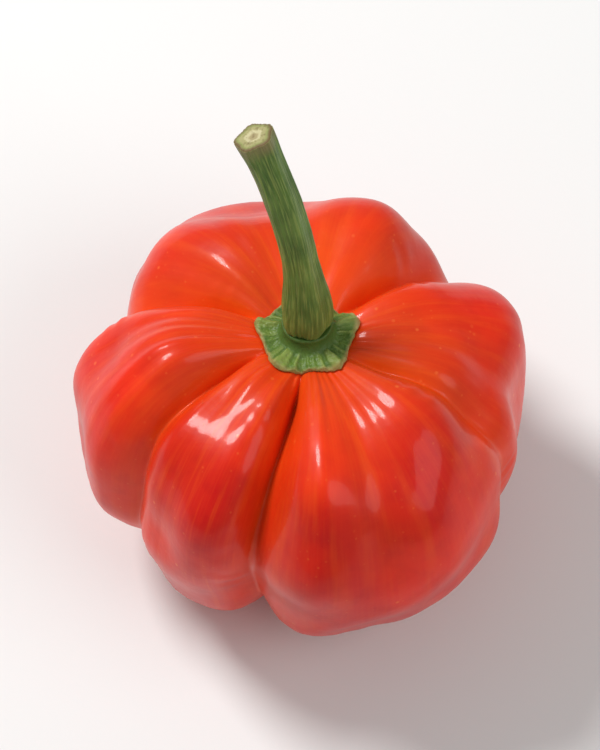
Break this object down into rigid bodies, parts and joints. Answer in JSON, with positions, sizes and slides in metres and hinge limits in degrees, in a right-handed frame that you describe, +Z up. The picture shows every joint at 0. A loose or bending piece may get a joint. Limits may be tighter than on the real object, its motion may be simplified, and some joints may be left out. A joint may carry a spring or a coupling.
{
  "type": "aji dulce pepper",
  "caption": "Squat lobed sweet pepper with a hollow crown, a small green toothed calyx and a slim curved stem, resting on the tips of its lobes.",
  "frame": {"origin": "on the resting plane, under the middle of the whole pepper's bounding box", "axes": "+Z up, along the height to the stem's cut end; the crown leans towards +Y; +X to the right when seen from -Y"},
  "size_m": [0.0438, 0.0448, 0.0557],
  "materials": {
    "pod_skin": "smooth waxy pepper skin, scarlet with orange towards the furrows and the crown",
    "calyx_green": "dull leaf green with a paler margin",
    "stem_green": "fibrous green with a dried cut end"
  },
  "bodies": {
    "root": {"pod": "pod_skin", "calyx": "calyx_green", "stem": "stem_green"}
  },
  "joints": []
}
